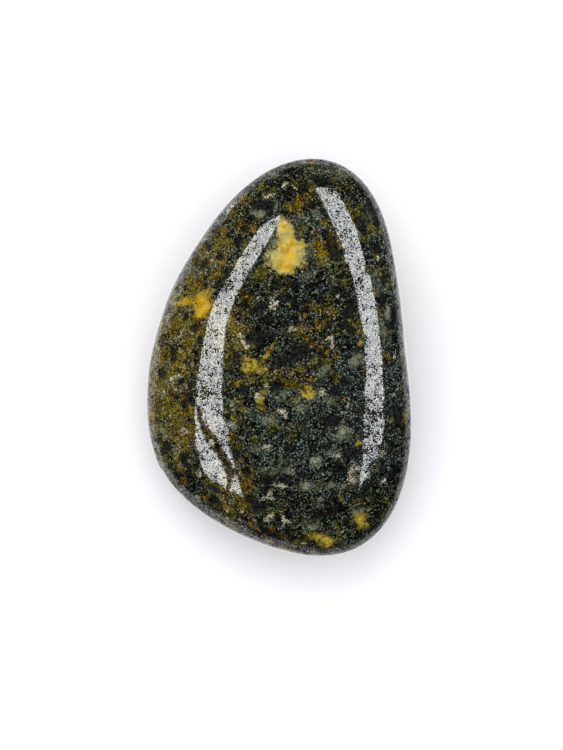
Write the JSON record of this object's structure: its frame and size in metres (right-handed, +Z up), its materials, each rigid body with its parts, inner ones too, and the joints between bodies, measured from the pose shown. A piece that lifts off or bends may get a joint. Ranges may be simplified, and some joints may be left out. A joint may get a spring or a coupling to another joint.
{
  "type": "palm stone",
  "caption": "Smooth egg-shaped pebble of polished spotted dolerite that fits the palm and rests on a small flat spot.",
  "frame": {"origin": "under the middle of the bounding box, at the height of the flat spot that the stone rests on", "axes": "+Z up, +Y along the stone's length towards its narrow end, +X across it"},
  "size_m": [0.0436, 0.0652, 0.0212],
  "materials": {
    "bluestone": "polished"
  },
  "bodies": {
    "root": {"palm_stone": "bluestone"}
  },
  "joints": []
}
